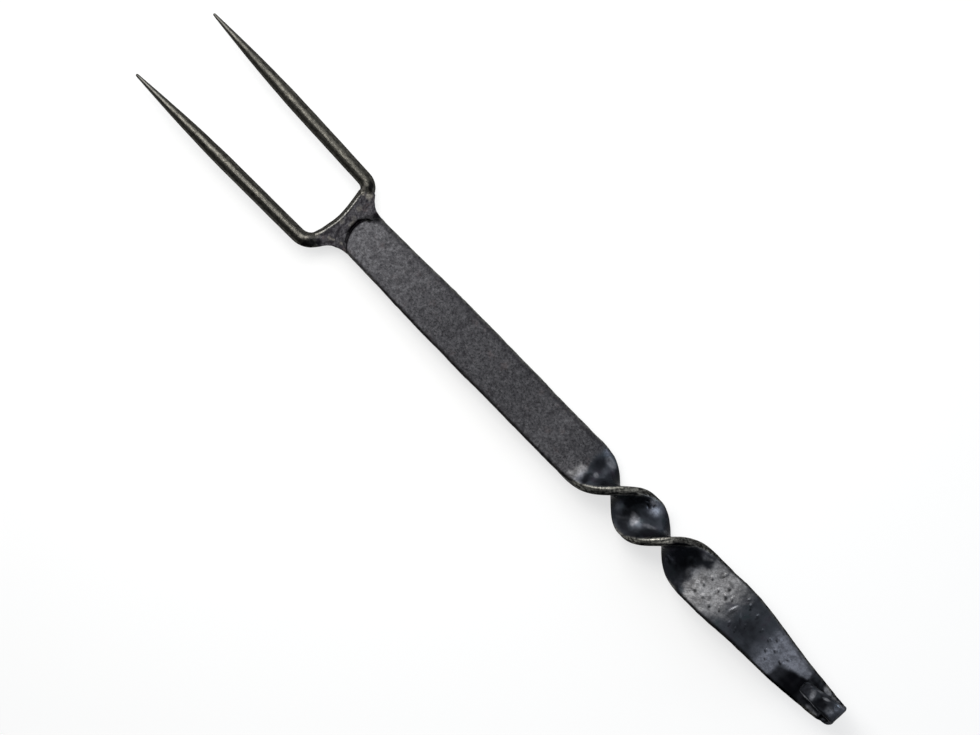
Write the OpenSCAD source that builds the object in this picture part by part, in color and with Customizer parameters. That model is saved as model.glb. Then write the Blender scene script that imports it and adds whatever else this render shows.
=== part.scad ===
// Hand-forged two-tine fork with a twisted handle and a hanging hook.
// X runs from the tines to the hook, and Z points to the side that the hook curls over.
// The origin is the middle of the shank's flat back face.

/* [Shank] */
// Length of the flat shank, from the nose to the start of the twist
shank_len = 117.6; // [100:0.1:140]
// Width of the bar at the nose
nose_w = 18.9; // [17:0.1:21]
// Width of the bar at the middle of the shank
shank_w = 20.7; // [18:0.1:24]
// Thickness of the bar in the shank and the twist
bar_t = 5.2; // [4.8:0.1:6.4]
// Radius of the hammered edges along the bar
bar_edge_r = 1.5; // [0.8:0.1:2]
// Rounding of the nose's end towards the front
nose_edge_r = 0.6; // [0.3:0.1:1]
// Radius of the nose in plan
nose_r = 12.5; // [12.5:0.5:30]
// Sideways place of the nose's foremost point
nose_middle = 0.3; // [-1:0.1:1]
// Length of the clipped right corner of the nose
clip_right = 5.6; // [2:0.1:7]

/* [Twist] */
// Length of the twisted stretch, with its eased ends
twist_len = 79; // [60:0.5:110]
// Number of half turns in the twist, which runs left-handed
half_turns = 2; // [1:1:3]
// Share of the twist over which each end eases in
twist_ease = 0.3; // [0.15:0.05:0.45]
// Width of the bar where it is twisted
twist_w = 20.4; // [17:0.1:24]
// Sideways shift of the bar's middle in the twist
twist_shift = 0.6; // [0:0.1:2]

/* [Leaf] */
// Length of the leaf, from the twist to the bend of the hook
leaf_len = 61.6; // [50:0.1:90]
// Greatest width of the leaf
leaf_w = 21.2; // [18:0.1:26]
// Length over which the leaf keeps its full width
leaf_full_len = 7.5; // [4:0.5:20]
// Sideways bow of the leaf's middle
leaf_bow = 1.3; // [0:0.1:2.5]
// Height to which the leaf arches up
leaf_rise = 1.5; // [0:0.1:3]

/* [Hook] */
// Inside radius of the hook
hook_r = 4.5; // [3.5:0.1:7]
// Width of the bar where the hook's bend starts
hook_w = 12.0; // [9:0.1:14]
// Width of the band where the bend ends
hook_band_w = 6.9; // [5.6:0.1:8.5]
// Width of the band just before its rounded tip
hook_tip_w = 5.4; // [4:0.1:6]
// Thickness of the bar where the bend starts
hook_t = 3.2; // [2.6:0.1:4.2]
// Thickness of the band at its tip
hook_tip_t = 2.4; // [2:0.1:2.6]
// Length of the band past the bend
hook_return = 11.8; // [8:0.1:18]
// Slope of the band past the bend, which opens the hook's mouth
hook_flare = 3; // [0:0.5:10]
// Sideways shift of the bend's far side
hook_skew = 1.4; // [0:0.1:2]

/* [Tines] */
// Diameter of the rod that the tines are drawn from
rod_d = 5.8; // [5:0.1:6.6]
// Length of the left tine, from the bend at its root to its point
left_len = 87.6; // [62:0.1:120]
// Length of the right tine, from the bend at its root to its point
right_len = 86.2; // [62:0.1:120]
// Distance between the middles of the tines at their roots
tine_span = 33.4; // [31:0.1:40]
// Sideways shift of the middle of the yoke
yoke_shift = -1.2; // [-2:0.1:2]
// Outward splay of the left tine
left_splay = 0.8; // [0:0.1:4]
// Outward splay of the right tine
right_splay = 2; // [0:0.1:4]
// Length of each drawn-out point
point_len = 52; // [30:0.5:58]
// Diameter of each tine just before its rounded tip
point_d = 1.2; // [0.8:0.1:2]

/* [Yoke] */
// Width of the hammered yoke at its middle, part of it under the bar
yoke_w = 8; // [7.4:0.1:9.4]
// Thickness of the hammered yoke and its tongue
yoke_t = 3; // [2.6:0.1:3.4]
// Radius of the yoke's hammered edges
yoke_edge_r = 1.1; // [0.6:0.1:1.2]
// Distance from the crotch to the nose of the bar
crotch_gap = 6.9; // [5:0.1:7]
// Bend radius at the root of the left tine, at the middle of the rod
left_root_r = 7.5; // [5:0.1:10]
// Bend radius at the root of the right tine, at the middle of the rod
right_root_r = 5.2; // [5:0.1:10]
// Angle of the shallow arc of the yoke on the left, before the root's bend
left_arc = 30; // [20:1:36]
// Angle of the shallow arc of the yoke on the right, before the root's bend
right_arc = 21; // [20:1:36]
// Radius of the concave shoulders between the yoke and the bar
shoulder_r = 11; // [8:0.1:14]
// Distance from the nose to where the shoulders meet the bar's sides
shoulder_len = 6.2; // [5:0.1:8.5]
// Length of the lap, where the tongue lies under the bar
lap_len = 12; // [9:0.5:20]

/* [Weld] */
// Thickness of the weld metal on the yoke, at the right corner
weld_right_h = 1.7; // [1:0.1:2]
// Thickness of the weld metal on the yoke, at the left corner
weld_left_h = 1.2; // [0.8:0.1:1.8]
// Width of the weld beads
weld_w = 3.4; // [2.6:0.1:4]

/* [Hidden] */
// Overlap of a cut past the face that it leaves
cut = 1;
// Depth by which the hook's bore trues up the curled band
true_up = 0.02;

// Places along X, and the height of the bar's middle, which the twist turns about
nose_x = -shank_len / 2;
twist_x = shank_len / 2;
leaf_x = twist_x + twist_len;
bend_x = leaf_x + leaf_len;
lap_x = nose_x + lap_len;
left_corner = nose_r - sqrt(pow(nose_r, 2) - pow(nose_w / 2 + nose_middle, 2));
yoke_x = nose_x - crotch_gap + yoke_w / 2;
mid_z = bar_t / 2;
hook_z = mid_z + hook_t / 2 + hook_r - true_up;

function clamp01(t) = min(1, max(0, t));
function smooth(t) = let (u = clamp01(t)) u * u * (3 - 2 * u);
function mix(a, b, t) = a + (b - a) * t;

// Share of the turn reached at t: eased at both ends, steady between them
function eased(t, e) =
    t <= 0 ? 0 :
    t >= 1 ? 1 :
    t < e ? t * t / (2 * e * (1 - e)) :
    t > 1 - e ? 1 - (1 - t) * (1 - t) / (2 * e * (1 - e)) :
    (t - e / 2) / (1 - e);

// A section with rounded corners, as [across, through] pairs. Its flats lie at exactly w / 2 and
// t / 2, and with w, t and 2 * r alike it is round.
corner_steps = 5;
corner_turn = 90 / corner_steps;
function section(w, t, r) = [
    for (corner = [0:3], step = [0.5:corner_steps - 0.5])
        let (
            a = corner * 90 + step * corner_turn,
            side = (corner == 0 || corner == 3) ? 1 : -1,
            face = corner < 2 ? 1 : -1,
            q = r / cos(corner_turn / 2)
        )
        [side * (w / 2 - r) + q * cos(a), face * (t / 2 - r) + q * sin(a)]
];

// Skin over equal rings of points, with a flat cap at each end
module skin(rings) {
    n = len(rings[0]);
    last = len(rings) - 1;
    sides = [
        for (i = [0:last - 1], j = [0:n - 1])
            let (a = i * n + j, b = i * n + (j + 1) % n)
            each [[a, a + n, b + n], [a, b + n, b]]
    ];
    first_cap = [for (j = [0:n - 1]) j];
    last_cap = [for (j = [n - 1:-1:0]) last * n + j];
    polyhedron([for (ring = rings, p = ring) p], concat(sides, [first_cap, last_cap]), convexity = 10);
}

// The bar along X: width, thickness, sideways shift and turn

function leaf_share(x) = clamp01((x - leaf_x) / leaf_len);
function taper_share(x) = clamp01((x - leaf_x - leaf_full_len) / (leaf_len - leaf_full_len));

function bar_w(x) =
    x < 0 ? mix(nose_w, shank_w, smooth((x - nose_x) / (0 - nose_x))) :
    x < twist_x ? mix(shank_w, twist_w, smooth(x / twist_x)) :
    x < leaf_x ? mix(twist_w, leaf_w, smooth((x - twist_x) / twist_len)) :
    mix(leaf_w, hook_w, pow(taper_share(x), 1.3));

function bar_thick(x) =
    mix(bar_t, hook_t, smooth(leaf_share(x))) - 2 * nose_edge_r * (1 - smooth((x - nose_x) / nose_edge_r));

// The leaf bows out by a quarter of its length, and is back in line before the hook
function bar_shift(x) =
    x < leaf_x ? twist_shift * smooth((x - twist_x) / (twist_len / 2)) :
    leaf_share(x) < 0.25 ? mix(twist_shift, leaf_bow, smooth(leaf_share(x) / 0.25)) :
    leaf_bow * (1 - smooth((leaf_share(x) - 0.25) / 0.5));

// The leaf arches up as it leaves the twist, and is back in line before the hook
arch_start = leaf_x - twist_len * 0.15;
arch_top = leaf_x + leaf_len * 0.31;
arch_end = leaf_x + leaf_len * 0.78;
function bar_rise(x) =
    leaf_rise * smooth((x - arch_start) / (arch_top - arch_start)) -
    leaf_rise * smooth((x - arch_top) / (arch_end - arch_top));

// The edges are hammered round, as far as the bar is thick enough
function edge_r(w, t) = min(bar_edge_r, t * 0.36, w * 0.36);

function bar_turn(x) = -180 * half_turns * eased((x - twist_x) / twist_len, twist_ease);

// The clipped corner takes this much off the nose's right side
function clip_at(x) = max(0, clip_right - (x - nose_x)) * 0.9;

function bar_ring(x) =
    let (
        w = bar_w(x) - clip_at(x),
        t = bar_thick(x),
        y = bar_shift(x) - clip_at(x) / 2,
        z = mid_z + bar_rise(x),
        a = bar_turn(x)
    )
    [
        for (p = section(w, t, edge_r(w, t)))
            [x, y + p[0] * cos(a) - p[1] * sin(a), z + p[0] * sin(a) + p[1] * cos(a)]
    ];

// Stations of the rings: close together in the twist, where the edges wind
nose_stations = [nose_x, nose_x + nose_edge_r, nose_x + clip_right, lap_x + cut];
shank_stations = [for (k = [1:8]) mix(lap_x + cut, twist_x, k / 8)];
twist_stations = [for (k = [1:48]) twist_x + twist_len * k / 48];
leaf_stations = [for (k = [1:15]) leaf_x + leaf_len * k / 16];

// The hook: the band follows its inside circle, then runs on straight over the leaf

bend_turn = 180 - hook_flare;
function band_w(a) = hook_band_w + (hook_w - hook_band_w) * pow(1 - a / bend_turn, 1.5);
function band_t(a) = mix(hook_t, (hook_t + hook_tip_t) / 2, a / bend_turn);

// A ring of the band at the bend's angle a, s past the end of the bend
function band_ring(a, s, y, w, t) =
    [
        for (p = section(w, t, edge_r(w, t)))
            let (r = hook_r - true_up + t / 2 - p[1])
            [bend_x + r * sin(a) + s * cos(a), y + p[0], hook_z - r * cos(a) + s * sin(a)]
    ];

bend_rings = [
    for (k = [0:18])
        let (a = bend_turn * k / 18)
        band_ring(a, 0, hook_skew * smooth(k / 14), band_w(a), band_t(a))
];

// The band narrows to its tip, which is rounded over the last stretch
tip_round = hook_tip_w * 0.4;
function tip_w(s) =
    let (u = clamp01((s - hook_return + tip_round) / tip_round))
    mix(hook_band_w, hook_tip_w, clamp01(s / (hook_return - tip_round))) - 2 * tip_round * (1 - sqrt(1 - u * u));
return_stations = concat(
    [for (k = [1:4]) (hook_return - tip_round) * k / 4],
    [for (a = [30:20:90]) hook_return - tip_round * (1 - sin(a))]
);
return_rings = [
    for (s = return_stations)
        let (k = s / hook_return)
        band_ring(bend_turn, s, hook_skew * (1 - k), tip_w(s), mix(band_t(bend_turn), hook_tip_t, k))
];

// What lies in front of the nose's arc
module nose_trim() {
    difference() {
        translate([nose_x - cut, -shank_w, -cut])
            cube([cut + nose_r, 2 * shank_w, bar_t + 2 * cut]);
        translate([nose_x + nose_r, nose_middle, -2 * cut])
            cylinder(r = nose_r, h = bar_t + 4 * cut, $fn = 96);
    }
}

module bar_nose() {
    skin([for (x = nose_stations) bar_ring(x)]);
}

module bar() {
    stations = concat(nose_stations, shank_stations, twist_stations, leaf_stations);
    skin(concat([for (x = stations) bar_ring(x)], bend_rings, return_rings));
}

// Room for the yoke and its tongue, under the nose of the bar
module lap_room() {
    translate([nose_x - crotch_gap, -shank_w, -cut])
        cube([crotch_gap + lap_len, 2 * shank_w, cut + yoke_t]);
}

// Bar with its nose dressed round and its lap cut away, and the hook's inside trued to a round bore
module handle() {
    color("#3b3b40")
    difference() {
        bar();
        nose_trim();
        lap_room();
        translate([bend_x, 0, hook_z])
            rotate([90, 0, 0])
            cylinder(r = hook_r, h = 2 * leaf_w, center = true, $fn = 72);
    }
}

// The rod bent to a U. The turn b counts from the middle of the yoke, where the rod runs across,
// towards the tine on the given side: a shallow arc first, and then the bend at the root.

function root_r(side) = side < 0 ? left_root_r : right_root_r;
function arc_turn(side) = side < 0 ? left_arc : right_arc;
function splay(side) = side < 0 ? left_splay : right_splay;
function arc_r(side) =
    (tine_span / 2 - root_r(side) * (1 - sin(arc_turn(side)))) / sin(arc_turn(side));

function u_point(side, b) =
    let (t = arc_turn(side), b1 = min(b, t), b2 = max(b, t))
    [
        yoke_x - arc_r(side) * (1 - cos(b1)) - root_r(side) * (cos(t) - cos(b2)),
        yoke_shift + side * (arc_r(side) * sin(b1) + root_r(side) * (sin(b2) - sin(t)))
    ];

// How far the hammered yoke has turned into round rod
function rod_share(side, b) = smooth((b - arc_turn(side) * 0.8) / 34);
function width_share(side, b) = smooth((b - arc_turn(side) * 0.4) / 22);

// A ring across the rod, at distance s past the root's bend
function u_ring(side, b, s, w, t, r, z) =
    let (c = u_point(side, b) + s * [-sin(b), side * cos(b)], turn = side * b)
    [
        for (p = section(w, t, r))
            [c[0] - p[0] * cos(turn), c[1] - p[0] * sin(turn), z + p[1]]
    ];

function yoke_ring(side, b) =
    let (f = rod_share(side, b), w = mix(yoke_w, rod_d, width_share(side, b)))
    u_ring(side, b, 0, w, mix(yoke_t, rod_d, f), mix(yoke_edge_r, rod_d / 2, f), mix(yoke_t / 2, mid_z, f));

// Diameter of a tine at distance s from its point: drawn out, with a round tip
function tine_d(s) =
    s < point_d / 2 ? 2 * sqrt(s * (point_d - s)) :
    point_d + (rod_d - point_d) * sin(90 * clamp01((s - point_d / 2) / point_len));

tip_stations = [for (a = [75, 45, 0]) point_d / 2 * (1 - sin(a))];
tine_stations = concat(tip_stations, [for (k = [1:10]) point_d / 2 + point_len * k / 10]);

// Rings of one side, from the point of the tine to the middle of the yoke
function side_rings(side, length) = concat(
    [
        for (s = tine_stations)
            let (d = tine_d(s))
            u_ring(side, 90 - splay(side), length - s, d, d, d / 2, mid_z)
    ],
    [for (k = [12:-1:1]) yoke_ring(side, (90 - splay(side)) * k / 12)]
);

function reversed(list) = [for (k = [len(list) - 1:-1:0]) list[k]];

module bent_rod() {
    left = side_rings(-1, left_len);
    right = side_rings(1, right_len);
    skin(concat(left, [yoke_ring(1, 0)], reversed(right)));
}

// Plan of the yoke's shoulders: a web whose sides sweep into the bar's sides in concave arcs
module shoulder_plan() {
    shoulder_x = nose_x + shoulder_len;
    side_y = bar_w(shoulder_x) / 2;
    half_w = side_y + yoke_w * 0.6;
    difference() {
        translate([yoke_x, -half_w])
            square([shoulder_x - yoke_x, 2 * half_w]);
        for (side = [-1, 1])
            translate([shoulder_x, side * (side_y + shoulder_r)])
                circle(r = shoulder_r, $fn = 96);
    }
}

// Bent rod with the shoulders and the tongue that lies under the bar
module tines() {
    color("#45423f") {
        bent_rod();
        intersection() {
            bar_nose();
            lap_room();
        }
        linear_extrude(height = yoke_t)
            shoulder_plan();
    }
}

// A bead of weld metal in a corner of the nose: two lumps run together, trimmed to what they fill
module weld(side, corner, h) {
    corner_y = bar_w(nose_x + corner) / 2 - weld_w * 0.45;
    difference() {
        hull()
            for (end = [0, 1])
                translate([nose_x + corner * (0.25 + 0.6 * end), side * (corner_y - corner * 0.5 * (1 - end)), yoke_t])
                    scale([weld_w / 2, weld_w / 2, h])
                    sphere(r = 1, $fn = 20);
        difference() {
            bar_nose();
            nose_trim();
        }
        lap_room();
    }
}

module weld_left() {
    color("#4a4a4d")
        weld(-1, left_corner, weld_left_h);
}

module weld_right() {
    color("#2e2d2e")
        weld(1, clip_right, weld_right_h);
}

handle();
tines();
weld_left();
weld_right();
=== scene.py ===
"""Looks of a hand-forged two-tine fork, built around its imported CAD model.

The bar is swept again with close rings, the rod with its yoke is remeshed, and the welds are puddles that
run out over the yoke, so that hammer marks, forge scale, pits and nicks are real relief. Shapes and the
places of marks are in millimetres, and lamps and the camera are in metres.
"""

import math

import bpy
import numpy as np
from mathutils import Matrix, Vector


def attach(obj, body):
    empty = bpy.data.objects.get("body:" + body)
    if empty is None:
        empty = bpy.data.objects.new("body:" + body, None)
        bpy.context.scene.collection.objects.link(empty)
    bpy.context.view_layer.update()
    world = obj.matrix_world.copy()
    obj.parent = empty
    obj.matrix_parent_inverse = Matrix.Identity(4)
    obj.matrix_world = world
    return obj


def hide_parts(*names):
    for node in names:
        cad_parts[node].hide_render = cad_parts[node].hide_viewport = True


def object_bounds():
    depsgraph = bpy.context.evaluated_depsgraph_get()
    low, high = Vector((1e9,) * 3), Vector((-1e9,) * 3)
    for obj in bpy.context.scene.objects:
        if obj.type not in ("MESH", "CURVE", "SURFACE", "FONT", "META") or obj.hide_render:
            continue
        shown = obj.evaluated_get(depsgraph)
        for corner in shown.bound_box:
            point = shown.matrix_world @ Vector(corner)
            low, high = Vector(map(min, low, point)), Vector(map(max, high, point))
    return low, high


MM = 0.001

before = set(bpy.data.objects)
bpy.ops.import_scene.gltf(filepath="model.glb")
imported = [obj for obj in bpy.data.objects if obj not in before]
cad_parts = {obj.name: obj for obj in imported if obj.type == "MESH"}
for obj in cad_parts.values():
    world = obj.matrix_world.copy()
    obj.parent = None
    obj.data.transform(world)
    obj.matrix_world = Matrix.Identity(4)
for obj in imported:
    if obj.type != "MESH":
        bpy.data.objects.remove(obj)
CAD_LOW, CAD_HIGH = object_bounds()

# The bar, as in the part's source
SHANK_LEN, NOSE_W, SHANK_W, BAR_T = 117.6, 18.9, 20.7, 5.2
EDGE_R, NOSE_EDGE_R = 1.5, 0.6
NOSE_R, NOSE_MIDDLE, CLIP_RIGHT, CLIP_SLOPE = 12.5, 0.3, 5.6, 0.9
TWIST_LEN, HALF_TURNS, TWIST_EASE, TWIST_W, TWIST_SHIFT = 79.0, 2, 0.3, 20.4, 0.6
SHIFT_START, SHIFT_LEN = 0.58, 0.28
LEAF_LEN, LEAF_W, LEAF_FULL_LEN, LEAF_POWER = 61.6, 21.2, 7.5, 1.3
LEAF_BOW, BOW_TOP, BOW_FADE = 1.3, 0.25, 0.5
HOOK_R, HOOK_W, HOOK_BAND_W, HOOK_TIP_W, BAND_POWER = 4.5, 12.0, 6.9, 5.4, 1.5
HOOK_T, HOOK_TIP_T, HOOK_RETURN, HOOK_FLARE = 3.2, 2.4, 11.8, 3.0
LEAF_RISE, ARCH_START, ARCH_TOP, ARCH_END = 1.5, 0.15, 0.31, 0.78
LAP_LEN, YOKE_T, CROTCH_GAP, YOKE_W, TINE_SPAN, ROD_D = 12.0, 3.0, 6.9, 8.0, 33.4, 5.8
YOKE_SHIFT, LEFT_ROOT_R, RIGHT_ROOT_R, LEFT_ARC, RIGHT_ARC = -1.2, 7.5, 5.2, 30.0, 21.0
WELD_W, WELD_LEFT_H, WELD_RIGHT_H = 3.4, 1.2, 1.7

# Small sways, a neck and a shoulder of the bar, which follow the photograph closer than the part's source
TWIST_NECK, TWIST_SWAY, HOOK_SWAY, HOOK_SHOULDER, HOOK_SKEW, TIP_SKEW = 0.5, 0.7, 0.7, 0.5, 0.5, -0.35
SKEW_STEEP, TIP_ROUND = 18 / 14, 0.3

NOSE_X = -SHANK_LEN / 2
TWIST_X = SHANK_LEN / 2
LEAF_X = TWIST_X + TWIST_LEN
BEND_X = LEAF_X + LEAF_LEN
LAP_X = NOSE_X + LAP_LEN
YOKE_X = NOSE_X - CROTCH_GAP + YOKE_W / 2
MID_Z = BAR_T / 2
HOOK_Z = MID_Z + HOOK_T / 2 + HOOK_R
BAND_X = BEND_X + 8
BEND_TURN = 180 - HOOK_FLARE

# How far the nose is drawn back from the crevice, and the lengths over which its arc fades out
NOSE_SET, NOSE_FADE_LEFT, NOSE_FADE_RIGHT = 0.7, 9.0, 5.0
LEFT_CORNER = NOSE_R - math.sqrt(NOSE_R**2 - (NOSE_W / 2 + NOSE_MIDDLE) ** 2)

# Distance between the rings of the bar, points round each ring, and size of the remeshed rod's faces
STEP_SHANK, STEP_TWIST, STEP_LEAF, STEP_HOOK = 0.42, 0.44, 0.36, 0.34
FACE_POINTS, CORNER_POINTS, SIDE_POINTS, CAP_STEPS = 40, 6, 4, 4
TINE_VOXEL = 0.25

# Corner radius over the lap, and the largest share of width or thickness that a corner takes
LAP_EDGE_R, EDGE_SHARE = 0.15, 0.36

# The yoke: where its rim and its finish begin, the rim's radius, and the crevice's size, ends and tail
RIM_X, YOKE_FINISH_X, RIM_R = -73.0, -72.5, 2.4
CREVICE_W, CREVICE_DEPTH, CREVICE_ENDS = 0.8, 1.3, (-6.6, 3.0)
CREVICE_TAIL = [(-58.0, 3.7), (-57.5, 4.4), (-56.9, 5.0), (-56.2, 5.3), (-55.5, 5.1)]

# Where the bar's finishes change along it: scale, bare leaf, worn satin with a painted reflection of the
# lamps near the twist and near the hook, a lilac tint of the satin, the twist's first band, and its dark
# patches, partly painted shade
SCALE_END, LEAF_START, LEAF_END = 68.5, 126.0, 190.0
NEAR_SHEEN_X, NEAR_SHEEN_END, FAR_SHEEN_X, FAR_SHEEN_END = 126.8, 147.0, 163.0, 188.2
BLUE_X, FIRST_BAND_END, TWIST_DARK_END = 156.0, 84.0, 131.0
# The hook's painted shadow on the leaf: where it begins and is deepest, and a point and the slope of its
# border
SHADOW_X, SHADOW_DEEP_X, SHADOW_BORDER, SHADOW_SLOPE = 175.2, 187.6, (177.0, -1.3), 0.32

# Direction in which the yoke was hammered, in radians from X
HAMMER_TURN = math.radians(-70)

# The puddles of weld metal: rings and points, skirt past the bead, and depth sunk in the yoke
WELD_RINGS, WELD_POINTS, WELD_SKIRT, WELD_SINK, WELD_OUTER = 16, 60, 0.7, 0.12, 0.55
# Height by which the right puddle washes over the clipped corner's edge
WELD_LAP = 0.8

# Tint that keeps the steels dark where they are seen at a low angle, and colours that they share
SHEEN = (0.1, 0.1, 0.1)
# The first shared colour is the black of soot and of painted shade, shadows and dark reflections
SOOT_AND_SHADE, PLATE_DARK, PLATE_PALE = (0.002, 0.002, 0.003), (0.016, 0.0155, 0.018), (0.098, 0.095, 0.104)

# The photograph's width in pixels, its scale, and the fork's turn in it
IMAGE_W = 980
MM_PER_PIXEL = 0.385
FORK_ANGLE = 45.6

# The floor, the room, the middle of the camera's view, and its lens and sensor
FLOOR_HALF, FLOOR_LIFT, FLOOR_GREY = 12.0, 0.66, (0.35, 0.35, 0.35)
ROOM_DARK, ROOM_PALE, ROOM_FALL, ROOM_COLOUR = 0.05, 0.42, (-0.65, 0.05), (0.92, 0.96, 1.0)
VIEW_X, VIEW_Y = 16.9, -0.8
LENS, SENSOR = 400.0, 36.0

# Lamps: place, size, power, colour, and the point that they are aimed at
WARM, COOL, AIM = (1.0, 0.99, 0.96), (0.88, 0.93, 1.0), (0.098, 0, 0)
LAMPS = {
    "soft_box": ((-0.202, 0.10, 0.39), (0.20, 0.40), 1.7, WARM, AIM),
    "spot": ((-0.125, 0.075, 0.50), (0.22, 0.16), 0.6, WARM, (-0.125, 0, 0)),
    "window": ((0.95, 0.42, 0.30), (0.36, 0.48), 4.6, COOL, AIM),
}


def mix(a, b, t):
    return a + (b - a) * t


def smooth(t):
    u = np.clip(t, 0, 1)
    return u * u * (3 - 2 * u)


def fall(t):
    return 1 - smooth(t)


def bell(d, width):
    """1 at d = 0, and nearly 0 past width."""
    return np.exp(-((d / width) ** 2) * 2.5)


# Points along each side of the lattice of random numbers, which repeats
LATTICE = 48


def noise(points, cell, seed):
    """Smooth noise from about -1 to 1 at points in mm, with features of about cell in size."""
    lattice = np.random.RandomState(seed).uniform(-1, 1, (LATTICE,) * 3)
    p = np.asarray(points, float) / cell + 1000
    i = np.floor(p).astype(int)
    f = p - i
    f = f * f * (3 - 2 * f)
    total = 0
    for step in np.ndindex(2, 2, 2):
        weight = np.prod(np.where(step, f, 1 - f), axis=1)
        corner = (i + step) % LATTICE
        total = total + weight * lattice[tuple(corner.T)]
    return total


# The bar's shape along X


def eased(t, e):
    """Share of the turn reached at t: eased at both ends, steady between them."""
    t = np.clip(t, 0, 1)
    start = t * t / (2 * e * (1 - e))
    end = 1 - (1 - t) ** 2 / (2 * e * (1 - e))
    return np.where(t < e, start, np.where(t > 1 - e, end, (t - e / 2) / (1 - e)))


def bar_width(x):
    nose = mix(NOSE_W, SHANK_W, smooth((x - NOSE_X) / -NOSE_X))
    shank = mix(SHANK_W, TWIST_W, smooth(x / TWIST_X))
    twist_share = np.clip((x - TWIST_X) / TWIST_LEN, 0, 1)
    twist = mix(TWIST_W, LEAF_W, smooth(twist_share)) - TWIST_NECK * np.sin(np.pi * twist_share) ** 2
    taper = np.clip((x - LEAF_X - LEAF_FULL_LEN) / (LEAF_LEN - LEAF_FULL_LEN), 0, 1)
    leaf = mix(LEAF_W, HOOK_W, taper**LEAF_POWER)
    return np.where(x < 0, nose, np.where(x < TWIST_X, shank, np.where(x < LEAF_X, twist, leaf)))


def bar_thickness(x):
    return mix(BAR_T, HOOK_T, smooth((x - LEAF_X) / LEAF_LEN))


def bar_shift(x):
    share = np.clip((x - LEAF_X) / LEAF_LEN, 0, 1)
    twist_share = (x - TWIST_X) / TWIST_LEN
    twist = TWIST_SHIFT * smooth((twist_share - SHIFT_START) / SHIFT_LEN)
    twist = twist + TWIST_SWAY * np.sin(bar_turn(x)) ** 2
    out = mix(TWIST_SHIFT, LEAF_BOW, smooth(share / BOW_TOP))
    back = LEAF_BOW * fall((share - BOW_TOP) / BOW_FADE)
    return np.where(x < LEAF_X, twist, np.where(share < BOW_TOP, out, back))


def bar_rise(x):
    """The leaf arches up a little, and is back in line before the hook."""
    start = LEAF_X - TWIST_LEN * ARCH_START
    top, end = LEAF_X + LEAF_LEN * ARCH_TOP, LEAF_X + LEAF_LEN * ARCH_END
    up = smooth((x - start) / (top - start))
    down = smooth((x - top) / (end - top))
    return LEAF_RISE * (up - down)


def bar_turn(x):
    return np.radians(-180 * HALF_TURNS * eased((x - TWIST_X) / TWIST_LEN, TWIST_EASE))


def corner_radius(w, t):
    return np.minimum(EDGE_R, EDGE_SHARE * np.minimum(t, w))


def nose_front(y):
    """Front of the bar's nose, which is an arc in plan."""
    off = np.clip(y - NOSE_MIDDLE, -0.8 * NOSE_R, 0.8 * NOSE_R)
    return NOSE_X + NOSE_SET + NOSE_R - np.sqrt(NOSE_R**2 - off**2)


# A ring's points run from the right front corner over the front to the left, and back over the back
FRONT_POINTS = 2 * CORNER_POINTS + FACE_POINTS
RING_POINTS = 2 * (FRONT_POINTS + SIDE_POINTS)


def opposite(j):
    """The point of a ring that mirrors point j, front to back."""
    return (RING_POINTS - SIDE_POINTS - 1 - j) % RING_POINTS


def ring_points(w, low, high, r_low, r_high):
    """Sections as (rings, points, 2), across and through, with rounded corners of two radii."""

    def corner(across_sign, radius, z, first_turn):
        turns = np.radians(first_turn + np.linspace(0, 90, CORNER_POINTS))[None, :]
        r = np.broadcast_to(radius, w.shape)[:, None]
        centre = across_sign * (w[:, None] / 2 - r)
        z_centre = z[:, None] - (r if first_turn < 180 else -r)
        return np.stack([centre + r * np.cos(turns), z_centre + r * np.sin(turns)], -1)

    def run(before, after, count):
        share = np.linspace(0, 1, count + 2)[None, 1:-1, None]
        return mix(before[:, -1:], after[:, :1], share)

    right_front = corner(1, r_high, high, 0)
    left_front = corner(-1, r_high, high, 90)
    left_back = corner(-1, r_low, low, 180)
    right_back = corner(1, r_low, low, 270)
    parts = [
        right_front, run(right_front, left_front, FACE_POINTS), left_front,
        run(left_front, left_back, SIDE_POINTS), left_back,
        run(left_back, right_back, FACE_POINTS), right_back,
        run(right_back, right_front, SIDE_POINTS),
    ]
    return np.concatenate(parts, 1)


def wobble(x, seed, size, cell):
    """Slow change of a size along the bar, as a hammer leaves it."""
    return size * noise(np.stack([x, x * 0, x * 0], -1), cell, seed)


def straight_stretch():
    """The bar from its nose to the bend: places, directions, sections, and length along the bar."""
    lap = np.arange(NOSE_X, LAP_X, STEP_SHANK)
    shank = np.arange(LAP_X + 0.05, TWIST_X, STEP_SHANK)
    twist = np.arange(TWIST_X, LEAF_X, STEP_TWIST)
    leaf = np.arange(LEAF_X, BEND_X, STEP_LEAF)
    x = np.concatenate([lap, [LAP_X - 0.01], shank, twist, leaf])
    on_lap = x < LAP_X
    clip = np.maximum(0, CLIP_RIGHT - (x - NOSE_X)) * CLIP_SLOPE
    w = bar_width(x) - clip
    t = bar_thickness(x)
    nose_share = np.clip((x - NOSE_X) / NOSE_EDGE_R, 0, 1)
    high = t / 2 - NOSE_EDGE_R * (1 - np.sqrt(1 - (1 - nose_share) ** 2))
    low = np.where(on_lap, YOKE_T - MID_Z, -t / 2)
    r = corner_radius(w, t)
    w = w + wobble(x, 11, 0.14, 9) + wobble(x, 12, 0.07, 3.5)
    y = bar_shift(x) - clip / 2 + wobble(x, 13, 0.08, 12)
    turn = bar_turn(x)
    places = np.stack([x, y, MID_Z + bar_rise(x)], -1)
    across = np.stack([x * 0, np.cos(turn), np.sin(turn)], -1)
    through = np.stack([x * 0, -np.sin(turn), np.cos(turn)], -1)
    r_low = np.where(on_lap, LAP_EDGE_R, r)
    sections = ring_points(w, low, high, r_low, np.minimum(r, (high - low) * 0.6))
    return places, across, through, sections, x - NOSE_X


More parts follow.
